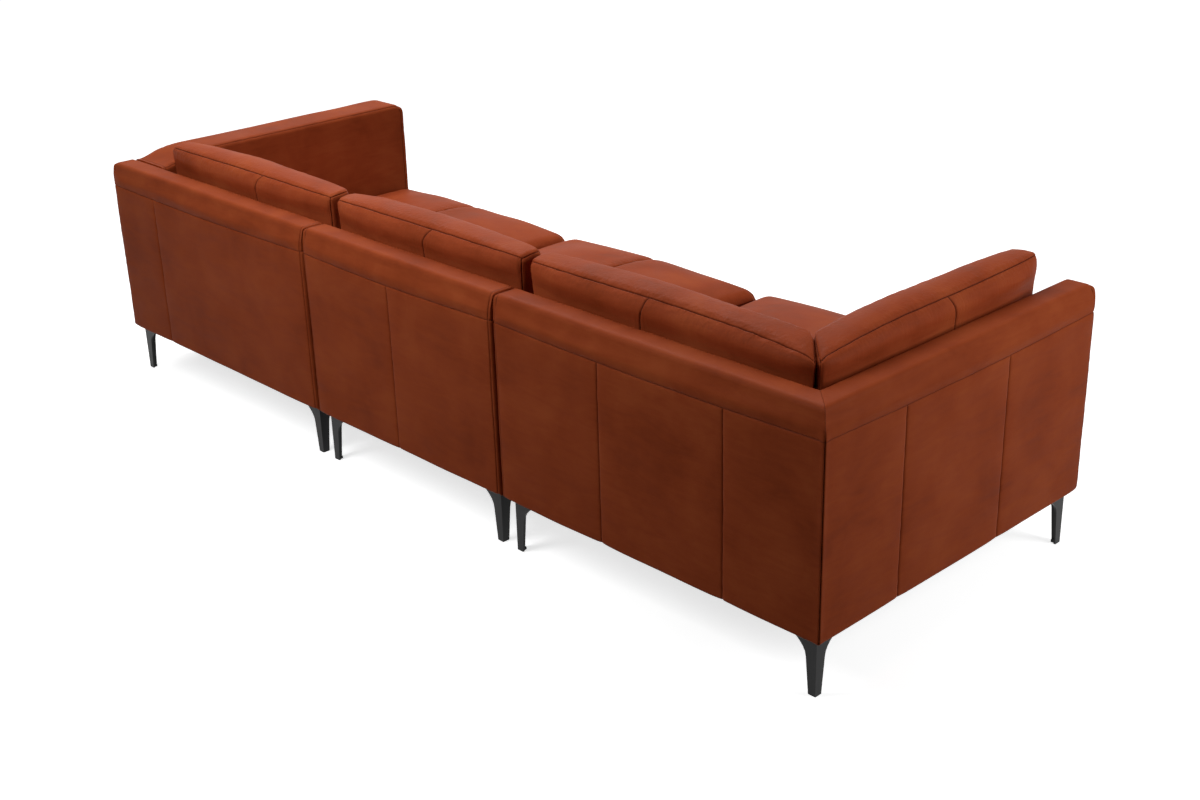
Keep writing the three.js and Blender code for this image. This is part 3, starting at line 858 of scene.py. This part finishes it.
@dataclass
class BoxCushion:
    """A box cushion with a crowned face, drawn-in sides and seams along its edges.

    Its own frame is centred on its back face, with X along its width, Y along its depth and Z
    towards the crowned face.
    """

    node: str
    seed: int
    pose: Pose = Pose.SEAT
    slant: int = 0
    panel_seam: float = 0.0
    radius: float = 0.034
    foot_radius: float = 0.014
    corner_radius: float = 0.042
    face_crown: float = 0.033
    front_fill: float = 0.007
    seam_drop: float = 0.022
    back_crown: float = 0.0
    end_crown: float = 0.0
    width_power: float = 2.6
    depth_power: float = 6.0
    mitred_power: float = 9.0
    brow: float = 0.0
    draw_in: float = 0.007
    border_softness: float = 0.007
    foot_squared: float = 0.75
    end_pinch: float = 0.0
    rear_pinch: float = 0.5
    mitred_pinch: float = 0.4
    corner_drop: float = 0.0
    drop_power: float = 2.6
    plain_drop: float = 0.0
    corner_curve: float = 0.0
    plain_curve: float = 0.0
    rise: float = 0.0
    bulge: float = 0.0
    bulge_drop: float = 0.030
    bulge_reach: float = 0.024
    hollow_share: float = 0.4
    hollow_drop: float = 0.082
    hollow_reach: float = 0.026
    off_wall: float = 0.0
    plain_tip: float = 0.0
    mitred_tip: float = 0.0
    channel: float = 0.004
    channel_reach: float = 0.012
    dart: float = 0.0
    dart_width: float = 0.06
    dart_length: float = 0.026
    dart_depth: float = 0.02
    tension_reach: float = 0.03
    pitch: float = 13 * MM
    stitching: Stitching = field(default_factory=lambda: Stitching(
        groove=2.4 * MM, groove_reach=1.7 * MM, swell=1.6 * MM, pucker=1.1 * MM, waves=2.2 * MM))

    def size(self) -> tuple[float, float, float]:
        """Returns the width, depth and thickness without the crowns."""
        low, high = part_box(self.node)
        across = high - low
        if self.pose is Pose.SEAT:
            return across.x, across.y, across.z - self.face_crown
        width, thick = (across.x, across.y) if self.pose is Pose.BACK else (across.y, across.x)
        tips = self.plain_tip + (self.mitred_tip if self.slant else self.plain_tip)
        return width + tips, across.z - self.end_crown, thick - self.face_crown - self.back_crown

    def to_sofa(self) -> Matrix:
        """Returns the matrix from the cushion's own frame to the sofa's."""
        low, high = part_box(self.node)
        middle = (low + high) / 2
        if self.pose is Pose.SEAT:
            return Matrix.Translation((middle.x, middle.y, low.z))
        depth = self.size()[1]
        stand = Matrix.Rotation(math.pi / 2, 4, "X")
        aside = self.slant * (self.mitred_tip - self.plain_tip) / 2
        off = self.back_crown + self.off_wall
        if self.pose is Pose.BACK:
            return Matrix.Translation((middle.x + aside, high.y - off, low.z + depth / 2)) @ stand
        turn = Matrix.Rotation(math.pi / 2, 4, "Z")
        return Matrix.Translation((low.x + off, middle.y + aside, low.z + depth / 2)) @ turn @ stand

    def seam_distance(self, raw: np.ndarray) -> np.ndarray:
        """Returns each point's distance to the nearest seam, from its place on the plain block."""
        width, depth, thickness = self.size()
        x, y, z = raw.T
        front, rear = z > thickness - ON_FACE, z < ON_FACE
        border = np.minimum(width / 2 - np.abs(x), depth / 2 - np.abs(y))
        upper = np.abs(thickness - self.seam_drop - z)
        best = np.where(front, border + self.seam_drop, np.where(rear, border, np.minimum(z, upper)))
        if self.pose is not Pose.SEAT:
            around = np.maximum(width / 2 - np.abs(x), depth / 2 - np.abs(y))
            best = np.minimum(best, np.where(front | rear, FAR, around))
        panel = front if self.pose is Pose.SEAT else rear
        return np.minimum(best, np.where(panel, np.abs(x - self.panel_seam), FAR))

    def shape(self, raw: np.ndarray) -> np.ndarray:
        """Returns the points of the stuffed cushion for the points of the plain block."""
        width, depth, thickness = self.size()
        half = np.array([width / 2, depth / 2, thickness / 2])
        way = 1.0 if self.pose is Pose.SIDE else -1.0
        beside = np.clip(1 - ((raw[:, 0] - self.panel_seam) / self.dart_width) ** 2, 0, 1) ** 2
        rear = np.clip(1 - raw[:, 2] / self.dart_depth, 0, 1)
        bend = way * self.dart * np.exp(-(half[1] - raw[:, 1]) / self.dart_length) * beside * rear
        corner = raw + np.stack([half[0] + bend, np.full(len(raw), half[1]), np.zeros(len(raw))], axis=1)
        upper, lower = (round_block(corner, (width, depth, thickness), (radius, radius, self.corner_radius))
                        for radius in (self.radius, self.foot_radius))
        x, y, z = (np.where(raw[:, 2:] < half[2], lower, upper) - half).T
        u, v, w = x / half[0], y / half[1], z / half[2]
        standing = self.pose is not Pose.SEAT
        mitred = u * self.slant > 0
        across = np.where(mitred, crown(u, self.mitred_power), crown(u, self.width_power))
        high = across * crown(v, self.depth_power)
        ends = np.minimum(np.abs(u), 1) ** 4
        z = z + w * high * np.where(w > 0, self.face_crown, self.back_crown)
        z = z + np.where((w > 0) & (v > 0), self.brow * w * v * v * crown(u, 2.0), 0)
        pinch = np.where(w > 0, 1.0, self.rear_pinch) * np.where(mitred, self.mitred_pinch, 1.0)
        z = z - w * ends * self.end_pinch * pinch
        if standing:
            under = half[1] - y
            fuller = bell(under - self.bulge_drop, self.bulge_reach)
            hollow = self.hollow_share * bell(under - self.hollow_drop, self.hollow_reach)
            z = z + np.where(w < 0, w * self.bulge * (fuller - hollow) * crown(u, 12.0), 0)
        else:
            z = z + np.where(w > 0, w * self.front_fill * crown(u, 4.0) * crown(v, 8.0) * smooth_step(0.5 - v), 0)
        settled = 1.0 if standing else 1 - self.foot_squared * smooth_step(-w)
        soft = self.border_softness * w * w * settled
        pull_x = soft + settled * self.draw_in * (1 - np.minimum(v * v, 1))
        drop = np.where(mitred, self.corner_drop * np.abs(u) ** self.drop_power, self.plain_drop * ends)
        curve = np.where(mitred, self.corner_curve, self.plain_curve) + MM / 10
        over = np.clip(1 - (half[0] - np.abs(x)) / curve, 0, 1)
        drop = drop + curve * (1 - np.sqrt(1 - over * over)) - np.where(mitred, 0, self.rise * u * u)
        pull_y = soft + (drop * (1 - w) / 2 if standing else settled * self.draw_in * (1 - np.minimum(u * u, 1)))
        x = x - np.sign(u) * np.abs(u) ** 5 * pull_x
        foot = np.where((v < 0) & standing, 0.0, 1.0)
        y = y - np.sign(v) * np.abs(v) ** 5 * pull_y * foot
        y = y + np.where(v > 0, self.end_crown * v * (1 - w * w) * crown(u), 0)
        x = x - self.slant * (z + half[2]) * (1 + self.slant * u) / 2
        return np.stack([x, y, z + half[2]], axis=1)

    def build(self, finishes: Finishes) -> bpy.types.Object:
        """Makes the cushion.

        Args:
            finishes: The sofa's finishes.

        Returns:
            The finished piece.
        """
        width, depth, thickness = self.size()
        rounds = (self.radius, self.radius)
        upper_seam = [thickness - self.seam_drop] if self.seam_drop else []
        lines = [
            grid_lines(width, rounds, [self.panel_seam + width / 2], self.pitch) - width / 2,
            grid_lines(depth, rounds, [], self.pitch) - depth / 2,
            grid_lines(thickness, (self.foot_radius, self.radius), upper_seam, self.pitch),
        ]
        cushion = gridded_block(f"{self.node}_leather", lines)
        raw = read_points(cushion)
        distance = self.seam_distance(raw)
        write_points(cushion, self.shape(raw))
        points = read_points(cushion)
        dip = self.stitching.dip(points, distance, self.seed)
        if self.pose is Pose.SEAT:
            top = raw[:, 2] > thickness - ON_FACE
            dip = dip + np.where(top, self.channel * bell(raw[:, 0] - self.panel_seam, self.channel_reach), 0)
        write_points(cushion, points - point_normals(cushion) * dip[:, None])
        # Painted shade along the seam grooves.
        write_mask(cushion, "seam", self.stitching.mark(distance))
        write_mask(cushion, "tension", np.exp(-distance / self.tension_reach))
        apply_modifier(cushion, "SUBSURF", levels=1, render_levels=1)
        place_piece(cushion, self.to_sofa())
        # The cushions wear the lighter copy of the leather, which is painted light.
        return finish_piece(cushion, finishes.cushion_leather, self.node, self.node)


@dataclass
class BackCushion(BoxCushion):
    """A box cushion that stands against a wall: slimmer at its edges and ends, and fuller in front."""

    pose: Pose = Pose.BACK
    radius: float = 0.014
    corner_radius: float = 0.018
    face_crown: float = 0.072
    seam_drop: float = 0.0
    back_crown: float = 0.020
    end_crown: float = 0.010
    width_power: float = 3.6
    depth_power: float = 2.6
    brow: float = 0.010
    draw_in: float = 0.005
    border_softness: float = 0.003
    end_pinch: float = 0.014
    corner_drop: float = 0.022
    plain_drop: float = 0.005
    corner_curve: float = 0.030
    plain_curve: float = 0.015
    bulge: float = 0.011
    off_wall: float = 0.003
    plain_tip: float = 0.00095
    mitred_tip: float = 0.0190
    dart: float = 0.024


# ---- Legs


@dataclass
class CastLeg:
    """A cast leg: two tapering blades at a right angle that flare to a plate, on a small foot pad.

    Its own frame has the blades along X and Y from the outer corner.
    """

    node: str
    body: str
    foot: float = 0.019
    pad: float = 0.015
    neck: float = 0.027
    neck_height: float = 0.084
    blade: float = 0.005
    plate: float = 0.082
    plate_thickness: float = 0.004
    plate_round: float = 0.010
    pad_height: float = 0.007
    edge: float = 0.0009

    def to_sofa(self) -> Matrix:
        """Returns the matrix from the leg's own frame to the sofa's."""
        low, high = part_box(self.node)
        corner = self.node.split("_leg_")[1]
        place, turn = {
            "back_left": ((low.x, high.y), -90),
            "back_right": ((high.x, high.y), 180),
            "front_right": ((high.x, low.y), 90),
            "front_left": ((low.x, low.y), 0),
        }[corner]
        return Matrix.Translation((*place, low.z)) @ Matrix.Rotation(math.radians(turn), 4, "Z")

    def make_blade(self, height: float) -> bpy.types.Object:
        """Returns one blade, upright along X, for a leg of that height."""
        flare = np.linspace(0, 1, 9)
        rise = self.neck_height + (height - self.neck_height) * (1 - (1 - flare) ** 2)
        blade = gridded_block("blade", [np.array([0.0, 1.0]), np.array([0.0, self.blade]),
                                        np.array([0.0, *rise])])
        points = read_points(blade)
        z = points[:, 2]
        t = np.clip((z - self.neck_height) / (height - self.neck_height), 0, 1)
        reach = self.plate - self.plate_round
        wide = self.neck + (reach - self.neck) * t * t
        taper = self.foot + (self.neck - self.foot) * np.minimum(z / self.neck_height, 1)
        points[:, 0] *= np.where(z > self.neck_height, wide, taper)
        write_points(blade, points)
        return blade

    def build(self, finishes: Finishes) -> bpy.types.Object:
        """Makes the leg.

        Args:
            finishes: The sofa's finishes.

        Returns:
            The finished piece.
        """
        low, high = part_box(self.node)
        height = high.z - low.z
        leg = self.make_blade(height - self.plate_thickness / 2)
        second = self.make_blade(height - self.plate_thickness / 2)
        second.data.transform(Matrix.Translation((self.blade, 0, 0)) @ Matrix.Rotation(math.pi / 2, 4, "Z"))
        plate = add_box((0, 0, height - self.plate_thickness), (self.plate, self.plate, height))
        self.round_plate(plate)
        pad = add_box((0, 0, 0), (self.pad, self.pad, self.pad_height))
        for part in (second, plate, pad):
            combine(leg, part, "UNION", "EXACT")
        apply_modifier(leg, "BEVEL", width=self.edge, segments=2, limit_method="ANGLE",
                       angle_limit=math.radians(35))
        leg.name = leg.data.name = f"{self.node}_casting"
        place_piece(leg, self.to_sofa())
        return finish_piece(leg, finishes.cast_metal, self.node, self.body)

    def round_plate(self, plate: bpy.types.Object) -> None:
        """Rounds the plate's upright corners."""
        select_only(plate)
        bpy.ops.object.transform_apply(location=True, rotation=True, scale=True)
        bpy.ops.object.mode_set(mode="EDIT")
        bpy.ops.mesh.select_mode(type="EDGE")
        bpy.ops.mesh.select_all(action="DESELECT")
        mesh = bmesh.from_edit_mesh(plate.data)
        for edge in mesh.edges:
            ends = edge.verts[0].co - edge.verts[1].co
            edge.select_set(abs(ends.z) > 0.9 * ends.length and edge.verts[0].co.xy.length > self.blade)
        bmesh.update_edit_mesh(plate.data)
        bpy.ops.mesh.bevel(offset=self.plate_round, segments=5)
        bpy.ops.object.mode_set(mode="OBJECT")


# ---- The modules


@dataclass
class SofaModule:
    """One module: its covers, bands and legs, and the cushions that lie in it."""

    name: str
    covers: list[WallCover]
    bands: list[str]
    cushions: list[BoxCushion]
    tuck: float = 3 * MM

    def build(self, finishes: Finishes) -> None:
        """Makes every piece of the module, and finishes the CAD nodes that stay.

        Args:
            finishes: The sofa's finishes.
        """
        body = f"{self.name}_module"
        for cover in self.covers:
            cover.build(finishes)
        for i, band in enumerate(self.bands):
            tucks = tuple(self.tuck * (band == "front" and end not in self.bands) for end in ("left", "right"))
            RailBand(f"{self.name}_{band}_band", body, seed=70 + i, tucks=tucks).build(finishes)
        for cushion in self.cushions:
            cushion.build(finishes)
        for corner in ("back_left", "back_right", "front_right", "front_left"):
            CastLeg(f"{self.name}_leg_{corner}", body).build(finishes)
        self.finish_frame(finishes)

    def finish_frame(self, finishes: Finishes) -> None:
        """Gives the timber, webbing, dust cloth and hooks of the module their materials."""
        looks = {"frame": finishes.timber, "webbing": finishes.webbing, "dust_cover": finishes.dust_cloth,
                 "peg_plate": finishes.bracket_steel, "hat_bracket": finishes.bracket_steel}
        for name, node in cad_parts.items():
            for word, material in looks.items():
                if name.startswith(self.name) and word in name:
                    node.data.materials.clear()
                    node.data.materials.append(material)
                    log.info("%s: finished as %s", name, material.name)


def corner_module() -> SofaModule:
    """Returns the module with two walls and two mitred back cushions."""
    return SofaModule(
        "corner",
        [
            WallCover("corner_back_cover", "corner_module", Facing.BACK, (0.337, 0.694), 11, Mitre.END),
            WallCover("corner_side_cover", "corner_module", Facing.CORNER_SIDE, (0.256, 0.613), 12, Mitre.START,
                      toe_round=0.026, brow_round=0.020),
        ],
        ["front", "right"],
        [
            BoxCushion("corner_seat_cushion", 21),
            BackCushion("corner_back_cushion", 22, slant=-1, panel_seam=0.055),
            BackCushion("corner_side_cushion", 23, pose=Pose.SIDE, slant=1, panel_seam=-0.06, plain_drop=0.0,
                        plain_tip=0.018, rise=0.008, end_pinch=0.008),
        ],
    )


def middle_module() -> SofaModule:
    """Returns the armless module."""
    return SofaModule(
        "middle",
        [WallCover("middle_back_cover", "middle_module", Facing.BACK, (0.3495,), 13)],
        ["front", "left", "right"],
        [
            BoxCushion("middle_seat_cushion", 31),
            BackCushion("middle_back_cushion", 32, panel_seam=-0.02),
        ],
    )


def arm_module() -> SofaModule:
    """Returns the module that ends in the arm."""
    return SofaModule(
        "arm",
        [
            WallCover("arm_back_cover", "arm_module", Facing.BACK, (0.225,), 14),
            WallCover("arm_side_cover", "arm_module", Facing.ARM_SIDE, (0.27, 0.62), 15, yoke=0.087,
                      outer_round=0.062, outer_reach=0.062, inner_round=0.016, toe_round=0.026,
                      brow_round=0.034, top_drop=0.032, inner_padding=0.030, top_padding=0.044,
                      foot_open=True, inner_edge_seam=True),
        ],
        ["front", "left"],
        [
            BoxCushion("arm_seat_cushion", 41),
            BackCushion("arm_back_cushion", 42, panel_seam=-0.07),
        ],
    )


# ---- The studio


@dataclass
class Studio:
    """A pale floor, soft lamps and the photograph's camera."""

    image_width: float = 1200.0
    focal_pixels: float = 1631.47
    sensor: float = 36.0
    azimuth: float = 3.95677
    elevation: float = 0.40617
    roll: float = -0.02844
    position: tuple[float, float, float] = (-3.0305, 2.6445, 1.8485)
    shadow_ends: tuple[float, float] = (1.5, 5.0)
    floor_lift: tuple[float, float] = (0.74, 1.0)
    fill: float = 0.05

    def build(self) -> None:
        """Adds the floor, the lamps, the world and the camera."""
        self.add_floor()
        self.add_lamp("top softbox", (0.0, 0.2, 3.6), (0.0, 0.0, 0.4), 3.4, 10)
        self.add_lamp("front softbox", (1.6, -1.2, 3.1), (0.2, -0.1, 0.4), 2.4, 80)
        self.add_lamp("corner side softbox", (-3.0, -0.8, 1.4), (-1.33, 0.0, 0.45), 1.2, 31)
        self.add_lamp("rear softbox", (0.3, 1.95, 2.2), (0.2, 0.4, 0.5), 1.2, 37)
        self.add_world()
        self.add_camera()

    def add_floor(self) -> None:
        """Adds the floor, whose own colour is lifted to white for the camera but keeps the shadow."""
        bpy.ops.object.select_all(action="DESELECT")
        bpy.ops.mesh.primitive_plane_add(size=60, location=(0, 0, 0))
        floor = bpy.context.object
        floor.name = "floor"
        material, tree, place = new_material("Studio floor, matt white")
        seen = self.seen_directly(tree)
        away = add_node(tree, "ShaderNodeVectorMath", {0: place}, operation="LENGTH")
        steps = dict(enumerate((*self.shadow_ends, *self.floor_lift), start=1))
        lift = add_node(tree, "ShaderNodeMapRange", {"Value": away.outputs["Value"], **steps})
        matt = add_node(tree, "ShaderNodeBsdfDiffuse", {"Color": linear("#e0e0e0")})
        dull = add_node(tree, "ShaderNodeBsdfDiffuse", {"Color": linear("#6e6e6e")})
        glow = add_node(tree, "ShaderNodeEmission", {"Color": linear("#ffffff"), "Strength": lift.outputs[0]})
        lifted = add_node(tree, "ShaderNodeAddShader", {0: matt.outputs[0], 1: glow.outputs[0]})
        mix = add_node(tree, "ShaderNodeMixShader", {0: seen, 1: dull.outputs[0], 2: lifted.outputs[0]})
        add_node(tree, "ShaderNodeOutputMaterial", {0: mix.outputs[0]})
        floor.data.materials.append(material)

    def seen_directly(self, tree: bpy.types.NodeTree) -> bpy.types.NodeSocket:
        """Returns 1 for rays that reach the camera straight, or by glass or a mirror."""
        path = add_node(tree, "ShaderNodeLightPath")
        first = add_node(tree, "ShaderNodeMath", {0: path.outputs["Is Camera Ray"], 1: path.outputs["Is Glossy Ray"]},
                         operation="MAXIMUM")
        both = add_node(tree, "ShaderNodeMath", {0: first.outputs[0], 1: path.outputs["Is Transmission Ray"]},
                        operation="MAXIMUM")
        return both.outputs[0]

    def add_lamp(self, name: str, place: Sequence[float], target: Sequence[float], size: float, power: float) -> None:
        """Adds a square area lamp that looks at a target."""
        light = bpy.data.lights.new(name, "AREA")
        light.shape = "SQUARE"
        light.size = size
        light.energy = power
        lamp = bpy.data.objects.new(name, light)
        bpy.context.scene.collection.objects.link(lamp)
        lamp.location = place
        lamp.rotation_euler = (Vector(target) - Vector(place)).to_track_quat("-Z", "Y").to_euler()

    def add_world(self) -> None:
        """Lights the room evenly, and shows it white."""
        world = bpy.data.worlds.new("studio")
        bpy.context.scene.world = world
        world.use_nodes = True
        tree = world.node_tree
        tree.nodes.clear()
        dim = add_node(tree, "ShaderNodeBackground", {"Color": linear("#ffffff"), "Strength": self.fill})
        white = add_node(tree, "ShaderNodeBackground", {"Color": linear("#ffffff"), "Strength": 1.0})
        mix = add_node(tree, "ShaderNodeMixShader",
                       {0: self.seen_directly(tree), 1: dim.outputs[0], 2: white.outputs[0]})
        add_node(tree, "ShaderNodeOutputWorld", {0: mix.outputs[0]})

    def add_camera(self) -> None:
        """Adds the camera at the photograph's viewing angle."""
        turn, tilt = self.azimuth, self.elevation
        back = Vector((math.sin(turn) * math.cos(tilt), -math.cos(turn) * math.cos(tilt), math.sin(tilt)))
        right = Vector((0, 0, 1)).cross(back).normalized()
        up = back.cross(right)
        c, s = math.cos(self.roll), math.sin(self.roll)
        right, up = c * right + s * up, c * up - s * right
        matrix = Matrix((right, up, back)).transposed().to_4x4()
        matrix.translation = self.position
        lens = bpy.data.cameras.new("camera")
        lens.sensor_width = self.sensor
        lens.lens = self.focal_pixels * self.sensor / self.image_width
        camera = bpy.data.objects.new("camera", lens)
        bpy.context.scene.collection.objects.link(camera)
        camera.matrix_world = matrix
        bpy.context.scene.camera = camera


def main() -> None:
    """Builds the sofa's look and its studio."""
    logging.basicConfig(level=logging.INFO, format="%(name)s: %(message)s")
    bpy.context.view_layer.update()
    finishes = Finishes()
    for module in (corner_module(), middle_module(), arm_module()):
        module.build(finishes)
    Studio().build()
    bpy.context.scene.view_settings.view_transform = "Standard"


if __name__ == "__main__":
    main()
